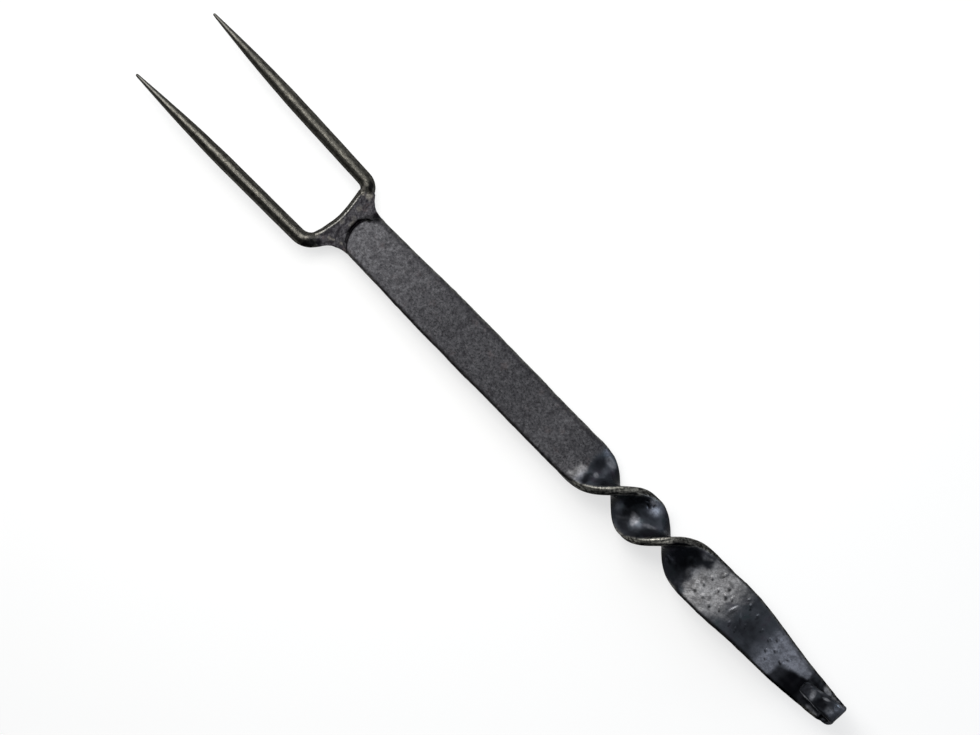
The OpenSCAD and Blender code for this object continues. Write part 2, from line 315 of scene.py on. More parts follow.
def hook_stretch():
    """The bend of the hook and the band that it returns in, as straight_stretch gives them."""
    bend_length = math.radians(BEND_TURN) * (HOOK_R + HOOK_T / 2)
    bend = np.linspace(0, BEND_TURN, int(bend_length / STEP_HOOK))
    run_on = np.linspace(0, HOOK_RETURN, int(HOOK_RETURN / STEP_HOOK))[1:]
    a = np.concatenate([bend, np.full_like(run_on, BEND_TURN)])
    s = np.concatenate([bend * 0, run_on])
    bend_share, run_share = a / BEND_TURN, s / HOOK_RETURN
    tip_round = HOOK_TIP_W * TIP_ROUND
    u = np.clip((s - HOOK_RETURN + tip_round) / tip_round, 0, 1)
    band = HOOK_BAND_W + (HOOK_W - HOOK_BAND_W) * (1 - bend_share) ** BAND_POWER
    w = mix(band, HOOK_TIP_W, np.clip(s / (HOOK_RETURN - tip_round), 0, 1))
    w = w - 2 * tip_round * (1 - np.sqrt(1 - u * u))
    middle_t = (HOOK_T + HOOK_TIP_T) / 2
    t = np.where(s > 0, mix(middle_t, HOOK_TIP_T, run_share), mix(HOOK_T, middle_t, bend_share))
    bend_skew = HOOK_SKEW * smooth(bend_share * SKEW_STEEP)
    y = np.where(s > 0, mix(HOOK_SKEW, TIP_SKEW, run_share), bend_skew)
    turn = np.radians(a)
    y = y + HOOK_SWAY * np.where(s > 0, 0, np.sin(turn))
    shoulder = HOOK_SHOULDER * np.where(a < 90, np.sin(2 * turn), 0)
    w = w + shoulder
    y = y - shoulder / 2
    radius = HOOK_R + t / 2
    x = BEND_X + radius * np.sin(turn) + s * np.cos(turn)
    z = HOOK_Z - radius * np.cos(turn) + s * np.sin(turn)
    across = np.stack([a * 0, a * 0 + 1, a * 0], -1)
    through = np.stack([-np.sin(turn), a * 0, np.cos(turn)], -1)
    r = corner_radius(w, t)
    sections = ring_points(w, -t / 2, t / 2, r, r)
    along = BEND_X - NOSE_X + turn * (HOOK_R + HOOK_T / 2) + s
    return np.stack([x, y, z], -1), across, through, sections, along


def bar_rings():
    """Points as (rings, points, 3), with the section coordinates and the length along the bar."""
    hook = [part[1:] for part in hook_stretch()]
    joined = (np.concatenate(parts) for parts in zip(straight_stretch(), hook))
    places, across, through, sections, along = joined
    points = places[:, None] + across[:, None] * sections[..., :1] + through[:, None] * sections[..., 1:]
    return points, sections, along


def grid_normals(points):
    """Outward normals of (rings, points, 3), closed round each ring."""
    around = np.roll(points, -1, 1) - np.roll(points, 1, 1)
    forward = np.gradient(points, axis=0)
    n = np.cross(around, forward)
    return n / np.maximum(np.linalg.norm(n, axis=-1, keepdims=True), 1e-12)


def cap_rings(ring):
    """Rings that close an end, drawn in step by step towards the ring's own long middle line."""
    middle = (ring + ring[[opposite(j) for j in range(RING_POINTS)]]) / 2
    centre = middle.mean(0)
    line = centre + (middle - centre) * 0.9
    return np.stack([mix(ring, line, (k + 1) / (CAP_STEPS + 1)) for k in range(CAP_STEPS)])


def closing_faces(start):
    """Quads across the last ring of an end, from its front points to its back points."""
    return [
        [start + k for k in (j % RING_POINTS, (j + 1) % RING_POINTS, opposite(j + 1), opposite(j))]
        for j in range(-SIDE_POINTS // 2, FRONT_POINTS - 1 + SIDE_POINTS // 2)
    ]


def sweep_faces(rings, points):
    """Quads between neighbouring rings, turned outwards."""
    i, j = np.meshgrid(np.arange(rings - 1), np.arange(points), indexing="ij")
    k = (j + 1) % points
    quads = np.stack([i * points + j, i * points + k, (i + 1) * points + k, (i + 1) * points + j], -1)
    return quads.reshape(-1, 4)


def closed_skin(points):
    """Vertices of the rings and of their drawn-in ends, and the faces between them and across the ends."""
    rings = np.concatenate([cap_rings(points[0])[::-1], points, cap_rings(points[-1])])
    faces = sweep_faces(len(rings), RING_POINTS).tolist()
    faces += [face[::-1] for face in closing_faces(0)]
    faces += closing_faces((len(rings) - 1) * RING_POINTS)
    return rings.reshape(-1, 3), faces


def spread(values):
    """Values of the rings, with those of the first and last one repeated for the drawn-in ends."""
    first, last = (np.repeat(end, CAP_STEPS, 0) for end in (values[:1], values[-1:]))
    return np.concatenate([first, values, last])


def linked(name, data):
    """New object of the scene with the given mesh, lamp or camera."""
    ob = bpy.data.objects.new(name, data)
    bpy.context.scene.collection.objects.link(ob)
    return ob


def stand(ob, place, axes):
    """Puts an object at a place in metres, with its own axes along the three given directions."""
    ob.matrix_world = Matrix.Translation(place) @ Matrix(axes).transposed().to_4x4()


def new_object(name, vertices, faces, material):
    """Mesh object with smooth faces; vertices come in millimetres."""
    mesh = bpy.data.meshes.new(name)
    mesh.from_pydata((np.asarray(vertices) * MM).tolist(), [], [list(map(int, f)) for f in faces])
    mesh.validate()
    mesh.polygons.foreach_set("use_smooth", [True] * len(mesh.polygons))
    mesh.materials.append(material)
    return linked(name, mesh)


def set_attributes(ob, looks):
    """Gives each vertex the values from 0 to 1 that its material reads by name."""
    for name, values in looks.items():
        attribute = ob.data.attributes.new(name, "FLOAT", "POINT")
        attribute.data.foreach_set("value", np.clip(values, 0, 1).astype(np.float32).ravel())


def inside_cad(vertices):
    """Keeps every vertex in the CAD model's box."""
    return np.clip(vertices, np.array(CAD_LOW) / MM, np.array(CAD_HIGH) / MM)


def taubin(vertices, edges, rounds):
    """Smooths a mesh without shrinking it."""
    both_ways = (edges.T, edges.T[::-1])
    count = np.zeros(len(vertices))
    for end, _ in both_ways:
        np.add.at(count, end, 1)
    for step in [0.5, -0.52] * rounds:
        total = np.zeros_like(vertices)
        for end, other in both_ways:
            np.add.at(total, end, vertices[other])
        vertices = vertices + step * (total / count[:, None] - vertices)
    return vertices


# Marks on the front of the leaf: place along the bar and across it, length, width, turn in degrees
LEAF_MARKS = [
    (132.8, -4.6, 1, 0.9, 0), (133.7, -0.5, 1, 0.8, 0), (137, -4.1, 1.1, 0.8, 20),
    (140.8, -5, 1.1, 0.9, 0), (141.8, 5.2, 1.1, 1, 0), (143.1, 1.7, 1.1, 1, 0),
    (145.7, 2.9, 0.8, 0.7, 0), (134.5, 3.4, 0.8, 0.7, 0), (139.6, 1.7, 0.6, 0.6, 0),
    (144.8, -3.4, 0.9, 0.7, 0), (137.4, 7.7, 2.2, 0.6, 75), (148.9, -0.1, 2.9, 0.8, 72),
    (153.4, -0.4, 2, 0.6, -40), (154.8, -4.8, 0.7, 0.5, 0), (151.5, -4.7, 0.7, 0.5, 0),
    (152.7, 5.6, 1, 0.8, 0), (150.6, 6.7, 0.9, 0.6, 40), (157.3, 5, 1.2, 0.6, 60),
    (162.6, 2.6, 0.9, 0.5, 50), (169.6, 5, 1.2, 1.1, 0), (167.1, 2.5, 0.9, 0.8, 0),
    (172, 1.4, 1.1, 1, 0), (169.2, -1.1, 0.8, 0.8, 0), (176.5, -0.3, 1.1, 0.9, 0),
    (177.9, 2.4, 0.9, 0.5, 45), (171.3, -3.4, 0.8, 0.8, 0), (156.6, -1, 0.6, 0.4, 0),
]
# Dark and light patches seen from above, partly painted shade and painted highlights: place, half length,
# half width, turn in degrees, strength
# Dark patches of the roots and the joint: partly soot and dark scale, partly painted shade
ROOT_DARK = [
    (-65, 15.4, 2.5, 1.1, -38, 0.95), (-66.3, -17.3, 3.8, 1.7, 42, 1), (-63.8, -14.2, 1.5, 1.3, 45, 1),
    (-63.4, 8.6, 1.4, 0.3, -45, 0.7), (-64.3, -10, 2.8, 0.5, 70, 0.5), (-61.6, -5.2, 2.6, 0.4, 108, 0.45),
    (-61.3, -11.8, 2, 0.5, 50, 0.45), (-62.3, 0.8, 1, 2.2, 0, 0.25), (-54.9, 8.5, 2.1, 1.7, -10, 1),
    (-55, 6.7, 1.9, 1, 10, 0.6), (-56.1, 5.3, 1, 0.5, -10, 0.95), (-48, 8.6, 4.5, 0.9, 0, 0.25),
]
# Painted highlights where the rods' highlights run on into the rim, and painted light where the roots'
# slopes catch the lamps
ROOT_LIGHT = [
    (-62.9, 12.4, 1.7, 1.2, -38, 0.85), (-64.9, 13.2, 1, 0.7, -38, 0.5), (-65.9, 12.2, 1.7, 0.9, -58, 1),
    (-67, 14, 1.5, 0.5, -42, 0.6), (-66.3, -13.6, 1.8, 0.9, 52, 0.35), (-67.5, -15.3, 1.7, 0.6, 42, 0.7),
    (-60.6, -9.5, 0.8, 0.4, 30, 0.55), (-57, -8, 1.4, 0.6, 25, 0.45), (-63.1, -2.2, 0.9, 0.9, 0, 0.3),
    (-60.8, 2, 1.2, 1, 0, 0.2), (-60, 0, 0.7, 1.5, 0, 0.35), (-62, 6, 1, 1.3, 0, 0.3),
    (-62, -10, 0.8, 0.6, 0, 0.4),
]
# Dark patches of the twist: partly dark scale, partly painted shade and dark reflections
TWIST_DARK = [
    (73.2, 3.6, 2.2, 3.6, -10, 0.7), (73.5, -4.8, 1.7, 3.4, 10, 0.95), (80, 0.3, 4.5, 1.3, 38, 0.6),
    (80.8, 5.4, 2.5, 1.2, -35, 0.4), (91.8, 2.4, 5, 2.6, 46, 0.95), (96.2, 5.8, 2, 1.3, 30, 0.55),
    (96.5, -6.9, 3.6, 1.4, 0, 0.6), (105.2, -1.6, 4.4, 1.5, 38, 0.65), (107.5, 5.2, 3, 1.2, -40, 0.45),
    (100.4, 2.6, 3.6, 0.8, 10, 0.4), (120.2, 1, 5.6, 6, 0, 0.95), (119.5, -6.6, 6, 2.2, -28, 0.6),
    (79.4, 2.8, 1.9, 1.8, 0, 0.55), (92.8, -5.6, 3.2, 2.6, 0, 0.35), (121.6, 4.6, 4.2, 2.6, 30, 0.9),
    (106, -6.4, 1.6, 0.7, 44, 1), (100.3, -4.5, 0.9, 1.1, 0, 0.35), (110.4, -2.4, 1.5, 0.5, 44, 0.35),
]
# Painted highlights of the twist, laid on as polished patches
TWIST_LIGHT = [
    (69.3, -4.8, 2.7, 3.2, 0, 0.7), (75, -0.6, 1, 0.9, 0, 0.6), (76, 6.6, 2.6, 1.8, 0, 0.55),
    (76.2, 3.4, 1.6, 1.6, 0, 0.08), (97.7, -2, 1.8, 1.8, 20, 0.5), (98.2, -3.7, 0.9, 1, 0, 0.35),
    (96.4, -0.6, 1.3, 0.6, -10, 0.4), (101, 5.6, 1.8, 2.4, -20, 0.18), (98.4, 7.9, 1.8, 0.9, 20, 0.65),
    (103.4, 0.2, 2.4, 0.8, 28, 0.5), (110.2, 2.7, 1.5, 0.9, -20, 0.8), (127.2, 8.2, 2.2, 1.5, 20, 0.6),
    (89, -3.4, 1.8, 1.8, 30, 0.15), (93.5, -5, 2.4, 0.7, 35, 0.2), (126.3, -0.7, 1.4, 1.8, 0, 0.45),
]
# Painted highlights on the bar's edge in the twist
BAND_LIGHT = [
    (108.8, -0.9, 3.2, 0.8, 46, 0.6), (89.2, 5.8, 1.8, 0.7, 38, 0.6), (118, 6.3, 1.7, 0.6, 38, 0.6),
]
# Painted light on the leaf under and beside the hook
LEAF_LIGHT = [
    (196.8, 5, 1.7, 0.9, 0, 1), (200.6, 4.7, 3.2, 0.5, 0, 0.5), (197.4, -4.7, 2.2, 0.8, 0, 0.85),
    (204, 5, 2.2, 0.8, 0, 0.7), (204.8, -3.6, 2.4, 0.8, 28, 0.75),
]
# Dark patches of the hook: partly dark scale, partly painted shade
HOOK_DARK = [
    (204.9, 1.4, 1, 3.6, 0, 0.35), (188.2, -0.4, 1, 3.4, 0, 0.9), (189.8, -0.4, 2.4, 3.4, 0, 0.7),
    (197.4, -0.2, 2.7, 2.1, 12, 0.95), (191, 0.9, 0.9, 0.5, 20, 0.6), (199.5, -2.5, 7, 0.4, 0, 0.7),
    (200, 3.5, 3, 0.25, 12, 0.6),
]
# Painted highlights on the hook's band
HOOK_LIGHT = [
    (193.4, -0.4, 1.1, 2.2, 12, 1), (192.1, 0.8, 0.9, 0.9, 0, 0.35), (198.4, 2.3, 1.7, 0.5, 20, 0.9),
    (202.2, 0.2, 1.7, 1.9, 0, 0.35), (194.2, 2.6, 1.6, 0.4, 20, 0.5), (193.5, -3.1, 5.5, 0.5, -3, 1),
    (204, 4.8, 2.2, 0.7, 0, 0.4), (204.8, -3.4, 1.9, 0.5, 28, 0.5), (206.4, 1, 0.5, 2.4, 0, 0.3),
]
# Cuts in the back of the bar, which the twist turns upwards, as the marks of the leaf are given
TWIST_MARKS = [(97.8, -5.4, 1.7, 0.35, 35), (99.4, -6.8, 1.1, 0.35, 100), (96, -7.4, 0.8, 0.4, 20)]
CUT_DEPTH, MARK_RISE, MARK_GROWTH, NEAR_MARKS_END = 0.46, 0.26, 1.05, 160


def mark_foot(x, y, a, b, turn):
    """The shaded foot of a mark of the leaf: near the twist behind it, near the hook on its left."""
    if x > NEAR_MARKS_END:
        return x - 0.3, y - 0.6 * b, 0.8 * a, 0.45 * b, turn - 20, 0.75
    if turn:
        return x + 0.8 * b, y - 0.1, 0.8 * a, 0.5 * b, turn, 0.6
    return x + 0.8 * a, y - 0.1, 0.55 * a, 0.8 * b, 0, 0.8


MARK_FEET = [mark_foot(*mark) for mark in LEAF_MARKS]


def from_spot(x, y, spot_x, spot_y, length, width, turn):
    """Distance from the middle of an ellipse, which is 1 at its rim."""
    c, s = math.cos(math.radians(turn)), math.sin(math.radians(turn))
    dx, dy = x - spot_x, y - spot_y
    return np.hypot((dx * c + dy * s) / length, (-dx * s + dy * c) / width)


def dents(x, y, marks, depth):
    """Relief of hollows, each with a slight rim round it."""
    total = np.zeros_like(x)
    for mark in marks:
        near = np.abs(x - mark[0]) + np.abs(y - mark[1]) < 4 * max(mark[2:4])
        d = from_spot(x[near], y[near], *mark)
        total[near] += depth * (0.15 * bell(d - 1.05, 0.5) - bell(d, 0.95))
    return total


def soft_spots(x, y, spots, blur):
    """The strongest of some soft patches at each point, with edges shifted by blur."""
    total = np.zeros_like(x)
    for *spot, strength in spots:
        total = np.maximum(total, strength * fall((from_spot(x, y, *spot) + blur - 0.5) / 0.9))
    return total


def scattered_marks(seed, count, x_low, x_high, half_w, size):
    """Small pits strewn over a face, from a fixed seed."""
    draw = np.random.RandomState(seed).uniform
    marks = []
    for _ in range(count):
        x, y = draw(x_low, x_high), draw(-half_w, half_w)
        marks.append((x, y, size * draw(0.6, 1.2), size * draw(0.5, 1), draw(0, 180)))
    return marks


def hollows(grain):
    """How dark fine grain is in its hollows."""
    return 0.35 - grain / 0.09


class Nodes:
    """Short words for the few kinds of node that the looks are made of."""

    def __init__(self, tree):
        self.tree = tree

    def put(self, value, socket):
        """Sets a socket to a number or a colour, or links an output to it."""
        if isinstance(value, (int, float)):
            socket.default_value = value
        elif isinstance(value, tuple):
            socket.default_value = (*value, 1)
        else:
            self.tree.links.new(value, socket)

    def add(self, kind, *values, **settings):
        """New node with its settings; the values go into its first sockets."""
        node = self.tree.nodes.new("ShaderNode" + kind)
        for name, setting in settings.items():
            setattr(node, name, setting)
        for value, socket in zip(values, node.inputs):
            self.put(value, socket)
        return node

    def attribute(self, name):
        return self.add("Attribute", attribute_name=name).outputs["Fac"]

    def noise(self, cell, detail, roughness, stretch=None, turn=0.0):
        """Noise with features of about cell in mm, drawn out by stretch along an axis at a turn."""
        place = self.add("TexCoord").outputs["Object"]
        if stretch:
            mapping = self.add("Mapping", place, vector_type="TEXTURE")
            mapping.inputs["Scale"].default_value = stretch
            mapping.inputs["Rotation"].default_value = (0, 0, turn)
            place = mapping.outputs[0]
        return self.add("TexNoise", place, 0.0, 1 / (cell * MM), detail, roughness).outputs["Fac"]

    def remap(self, value, low, high, to_low=0.0, to_high=1.0):
        return self.add("MapRange", value, low, high, to_low, to_high).outputs[0]

    def math(self, operation, a, b):
        return self.add("Math", a, b, operation=operation).outputs[0]

    def mix(self, a, b, share):
        """Colour or value between a and b."""
        is_colour = isinstance(b, tuple) or getattr(b, "type", "") == "RGBA"
        node = self.add("Mix", share, data_type="RGBA" if is_colour else "FLOAT")
        first = 6 if is_colour else 2
        self.put(a, node.inputs[first])
        self.put(b, node.inputs[first + 1])
        return node.outputs[2 if is_colour else 0]

    def layers(self, base, *layers):
        """Colours or values laid over each other, each by its share."""
        for layer, share in layers:
            base = self.mix(base, layer, share)
        return base

    def steel(self, colour, metal, rough, relief, depth, strength=1.0):
        """Finishes a steel's material, with fine relief of some depth in mm."""
        bump = self.add("Bump", strength, depth * MM)
        self.put(relief, bump.inputs["Height"])
        shader = self.add("BsdfPrincipled", colour, metal, rough)
        self.put(SHEEN, shader.inputs["Specular Tint"])
        self.put(bump.outputs[0], shader.inputs["Normal"])
        self.add("OutputMaterial", shader.outputs[0])


def new_material(name):
    """An empty node material, and its nodes."""
    material = bpy.data.materials.new(name)
    material.use_nodes = True
    material.node_tree.nodes.clear()
    return material, Nodes(material.node_tree)


def bar_steel():
    """Blackened flat bar: matt forge scale, glossy blue-black, pitted satin lightened by painted reflections
    and highlights, rubbed edges, and black soot and painted shade.
    """
    material, n = new_material("bar_steel")
    names = "gloss satin blue rub side bright soot low far"
    gloss, satin, blue, rub, side, bright, soot, low, far = map(n.attribute, names.split())
    grain = n.remap(n.noise(0.8, 4, 0.75), 0.36, 0.64)
    patch = n.remap(n.noise(9, 3, 0.6), 0.35, 0.7)
    rust = n.remap(n.noise(6, 4, 0.7), 0.58, 0.75)
    pitted = n.remap(grain, 0.5, 0.0, 0.0, 0.4)
    pale_scale = n.mix((0.038, 0.038, 0.041), (0.145, 0.143, 0.154), grain)
    deep_scale = n.mix((0.02, 0.02, 0.022), (0.092, 0.091, 0.099), grain)
    scale = n.mix(pale_scale, deep_scale, far)
    scale = n.mix(scale, (0.12, 0.08, 0.076), n.math("MULTIPLY", rust, 0.25))
    scale = n.mix(scale, (0.008, 0.007, 0.01), n.math("MULTIPLY", low, 0.65))
    black = n.mix((0.026, 0.028, 0.034), (0.072, 0.079, 0.094), patch)
    tint = n.remap(n.noise(6, 3, 0.5), 0.4, 0.62)
    temper = n.mix((0.042, 0.03, 0.044), (0.026, 0.044, 0.046), tint)
    black = n.mix(black, temper, n.remap(n.noise(4.5, 4, 0.6), 0.5, 0.66, 0.0, 0.6))
    blotch = n.remap(n.noise(3.2, 4, 0.65), 0.36, 0.6)
    # The satin's greys and lilacs, far lighter than the steel: worn satin lightened by painted reflections
    # and highlights
    grey = n.mix((0.12, 0.118, 0.122), (0.31, 0.308, 0.318), blotch)
    grey = n.mix(grey, (0.1, 0.098, 0.1), pitted)
    lilac = n.mix((0.12, 0.126, 0.15), (0.23, 0.242, 0.285), blotch)
    lilac = n.mix(lilac, (0.08, 0.084, 0.1), pitted)
    grey = n.mix(grey, lilac, blue)
    grey = n.mix(grey, (0.02, 0.02, 0.024), n.math("MULTIPLY", low, 0.7))
    speck = n.remap(n.noise(1.4, 5, 0.75), 0.42, 0.58)
    # A lit and a shaded copy of the edge's olive, mixed by the painted highlight on the upper half of the
    # bar on edge
    olive = n.mix((0.045, 0.044, 0.04), (0.3, 0.293, 0.262), speck)
    shaded_olive = n.mix((0.008, 0.008, 0.008), (0.075, 0.074, 0.07), speck)
    olive = n.mix(shaded_olive, olive, bright)
    bare = n.mix((0.06, 0.058, 0.052), (0.48, 0.465, 0.42), speck)
    colour = n.layers(scale, (black, gloss), (grey, satin), (olive, side), (bare, rub), (SOOT_AND_SHADE, soot))
    polish = n.remap(n.noise(2.5, 4, 0.65), 0.3, 0.7, 0.24, 0.46)
    rough = n.layers(0.5, (polish, gloss), (0.42, satin), (0.45, side), (0.34, rub), (0.6, soot))
    metal = n.layers(0.35, (0.9, gloss), (0.5, satin), (0.9, rub), (1.0, soot))
    n.steel(colour, metal, rough, n.noise(0.6, 3, 0.65), 0.14, n.layers(1.0, (0.3, gloss), (1.0, satin)))
    return material


def rod_steel():
    """Blackened rod: charcoal with an olive cast, the grainy hammered yoke, a painted highlight along the
    crotch's rim, painted light on the roots, and black soot and painted shade.
    """
    material, n = new_material("rod_steel")
    names = "yoke pale rim soot low light matt"
    yoke, pale, rim, soot, low, light, matt = map(n.attribute, names.split())
    speck = n.remap(n.noise(0.8, 4, 0.75, stretch=(1.7, 1, 1)), 0.36, 0.62)
    grain = n.remap(n.noise(0.8, 4, 0.75), 0.36, 0.64)
    patch = n.remap(n.noise(5, 3, 0.6), 0.35, 0.7)
    rod = n.mix((0.022, 0.021, 0.018), (0.1, 0.096, 0.084), speck)
    rod = n.mix(rod, (0.03, 0.03, 0.029), n.math("MULTIPLY", patch, 0.5))
    rod = n.mix(rod, (0.088, 0.086, 0.08), pale)
    # A painted highlight line along the crotch's rim
    mottle = n.remap(n.noise(1.4, 4, 0.7), 0.38, 0.56)
    rim_highlight = n.mix((0.05, 0.049, 0.046), (0.215, 0.211, 0.199), mottle)
    rod = n.mix(rod, rim_highlight, rim)
    streak = n.remap(n.noise(0.9, 4, 0.7, turn=HAMMER_TURN, stretch=(3.6, 1, 1)), 0.42, 0.6)
    plate = n.mix(PLATE_DARK, PLATE_PALE, grain)
    plate = n.mix(plate, (0.012, 0.011, 0.014), n.math("MULTIPLY", streak, 0.8))
    plate = n.mix(plate, (0.095, 0.066, 0.062), n.remap(n.noise(4, 3, 0.6), 0.56, 0.72, 0.0, 0.45))
    plate = n.mix(plate, (0.01, 0.009, 0.012), n.math("MULTIPLY", low, 0.6))
    # Painted light where the roots' slopes catch the lamps
    tan_highlight = n.mix((0.085, 0.079, 0.068), (0.25, 0.236, 0.214), grain)
    colour = n.layers(rod, (plate, yoke), (tan_highlight, light), (SOOT_AND_SHADE, soot))
    polish = n.remap(n.noise(1.6, 3, 0.6, stretch=(2.5, 1, 1)), 0.3, 0.7, 0.22, 0.34)
    polish = n.math("ADD", polish, n.math("MULTIPLY", matt, 0.12))
    rough = n.layers(polish, (0.5, yoke), (0.6, soot))
    metal = n.layers(0.85, (0.35, yoke), (0.35, light), (1.0, soot))
    n.steel(colour, metal, rough, n.noise(0.6, 3, 0.65), 0.12, n.mix(0.4, 1.0, yoke))
    return material


def weld_steel():
    """Weld metal: like the yoke where it runs out thin, darker and blistered in its lumps."""
    material, n = new_material("weld_steel")
    lump = n.remap(n.noise(0.9, 4, 0.7), 0.34, 0.66)
    plain = n.mix(PLATE_DARK, PLATE_PALE, lump)
    dark = n.mix((0.008, 0.008, 0.0085), (0.05, 0.049, 0.05), lump)
    # The black layer is soot, and painted shade in the crevice and at the root
    colour = n.layers(plain, (dark, n.attribute("dark")), (SOOT_AND_SHADE, n.attribute("soot")))
    n.steel(colour, 0.35, n.remap(lump, 0, 1, 0.6, 0.45), n.noise(0.5, 3, 0.6), 0.12)
    return material


def sheen_patches(bar, streaks):
    """The leaf's worn satin patches near the twist and near the hook, lightened by a painted reflection of
    the lamps.
    """
    at, y, ragged, n = bar.at, bar.y, bar.ragged, bar.noise
    start = NEAR_SHEEN_X + np.minimum(np.where(y > 1, 0.19, 0.045) * (y - 1) ** 2, 3.8)
    start = start - 1.6 * bell(y, 3.5)
    end = NEAR_SHEEN_END - 3 * smooth((-1.5 - y) / 5) + 2.5 * n(5, 36)
    near = smooth((at - start + 1.6 + ragged + 2.2 * streaks) / 4.4)
    near *= fall((at - end + 1.5 * streaks) / 12 + 0.5)
    near *= 1 - 0.12 * smooth((y - 7.4 + 1.6 * ragged) / 3)
    end = FAR_SHEEN_END - 0.45 * np.abs(y - 3)
    far = smooth((at - FAR_SHEEN_X + 2 * n(4, 37)) / 9) * fall((at - end + 0.3 * ragged) / 1.2)
    far *= 1 - 0.25 * smooth((at - 181) / 5)
    return near, far


def bar_relief(bar):
    """How far hammer work, scale, marks and pits stand out from the smooth bar."""
    n = bar.noise
    relief = 0.1 * n(15, 21) + 0.05 * n(6, 22)
    relief += (bar.shank + 0.4 * bar.near_satin + 0.3 * bar.far_sheen) * bar.grain
    relief += bar.twist * (0.075 * n(3.8, 25) + 0.022 * n(1.7, 34))
    relief += bar.near_satin * (0.06 * n(2.2, 35) + 0.05 * n(1.2, 38))
    relief += bar.leaf * 0.05 * n(3.4, 26)
    relief += bar.hook * (0.26 * n(2.6, 28) + 0.08 * n(1.2, 29))
    relief += bell(bar.to_side, 1.7) * (0.07 * n(2.6, 30) + 0.035 * n(1.1, 31))
    relief += bar.marks + bar.cuts
    pits = bar.dents(scattered_marks(41, 160, -50, 190, 9, 0.7), 0.1)
    relief += pits * np.where(bar.front, 0.35, 1.0)
    on_lap_bottom = (bar.at < LAP_X + 1) & ~bar.front
    return np.where(on_lap_bottom, 0, relief)


def with_nose(points, at):
    """The points with the nose as an arc in plan, set back from the yoke."""
    fade_length = mix(NOSE_FADE_RIGHT, NOSE_FADE_LEFT, smooth((1 - points[..., 1]) / 4))
    nose_fade = fall((at - NOSE_X) / fade_length)
    points[..., 0] += nose_fade * (nose_front(points[..., 1]) - NOSE_X)
    return points


class Bar:
    """The forged bar's rings, and what is known of their points, as arrays of (rings, points).

    Its zones, shank, twist, leaf and hook, are shares from 0 to 1. The length along the bar is at, and y
    is the place across the fork before the relief.
    """

    def __init__(self):
        n = self.noise
        points, section, along = bar_rings()
        self.y = y = points[..., 1]
        self.at = at = np.broadcast_to(along[:, None] + NOSE_X, y.shape)
        self.across, self.through = across, through = section[..., 0], section[..., 1]
        self.place = np.stack([at, across, through * 3], -1).reshape(-1, 3)
        self.front = np.arange(RING_POINTS) < FRONT_POINTS
        half_w = np.abs(across).max(1, keepdims=True)
        self.is_wide = half_w > 7
        self.half_t = through.max(1, keepdims=True)
        self.to_side = half_w - np.abs(across)
        self.side = fall((self.to_side - 0.2) / 0.9)

        self.ragged = ragged = 1.2 * n(3, 32) + 0.8 * n(1.2, 33)
        self.shank = fall((at - SCALE_END + 0.7 * ragged) / 3)
        self.leaf = smooth((at - LEAF_START + ragged) / 4) * fall((at - LEAF_END) / 5)
        self.hook = smooth((at - BEND_X) / 4)
        self.twist = np.clip(1 - self.shank - self.leaf - self.hook, 0, 1)
        slanted = np.stack([at * 1.4 - y, (at + y) * 0.35, points[..., 2]], -1).reshape(-1, 3)
        self.streaks = noise(slanted, 1.6, 39).reshape(y.shape)
        self.near_satin, self.far_sheen = sheen_patches(self, self.streaks)

        self.grain = 0.03 * n(1.3, 23) + 0.03 * n(0.8, 24)
        grown = [(*mark[:2], MARK_GROWTH * mark[2], MARK_GROWTH * mark[3], mark[4]) for mark in LEAF_MARKS]
        self.marks = -self.dents(grown, MARK_RISE) * self.front
        self.cuts = self.dents(TWIST_MARKS, CUT_DEPTH) * ~self.front
        self.points = with_nose(points + grid_normals(points) * bar_relief(self)[..., None], at)

        self.plan = self.points[..., 0], self.points[..., 1]
        self.facing_up = smooth((grid_normals(self.points)[..., 2] - 0.1) / 0.5)
        self.on_band = (at > BAND_X) * self.facing_up
        self.on_bar = (at <= BAND_X) * self.facing_up
        self.blur = 0.5 * n(2.2, 57) + 0.3 * n(0.9, 58)
        # Painted light on the leaf by the hook, and painted highlights on the hook's band
        self.lit_leaf = self.patches(LEAF_LIGHT, self.on_bar)
        self.lit_band = self.patches(HOOK_LIGHT, self.on_band, 0.6)

    def noise(self, cell, seed):
        return noise(self.place, cell, seed).reshape(self.at.shape)

    def dents(self, marks, depth):
        return dents(self.at.ravel(), self.across.ravel(), marks, depth).reshape(self.at.shape)

    def patches(self, spots, where, blur_share=1.0):
        """Soft patches seen from above, on the part of the bar that where gives."""
        return soft_spots(*self.plan, spots, blur_share * self.blur) * where


def hook_shadow(bar):
    """The hook's painted shadow and dark reflection on the leaf under it: a slanted border, and the deepest
    part before the bend.
    """
    at, ragged, n = bar.at, bar.ragged, bar.noise
    border_y = SHADOW_BORDER[1] + SHADOW_SLOPE * (at - SHADOW_BORDER[0])
    nearer = smooth((at - 178) / 8)
    above = smooth((border_y + mix(1.7, 0.7, nearer) + 0.3 * ragged - bar.y) / mix(2.8, 1.2, nearer))
    shadow = smooth((at - SHADOW_X + 0.6 * ragged) / 2) * above
    shadow *= mix(0.8, 1.0, smooth((at - 178.5) / 3.5))
    shadow *= 1 - 0.3 * smooth((at - 188) / 3) - 0.08 * smooth(0.5 + n(1.6, 60))
    deep = smooth(at - SHADOW_DEEP_X + 0.3 * ragged) * (0.5 + 0.4 * smooth(0.5 + n(1.2, 55)))
    shadow = np.maximum(shadow, deep) * bar.front * fall((at - BEND_X - 3) / 3)
    return np.clip(shadow - 0.75 * bar.lit_leaf, 0, 1)


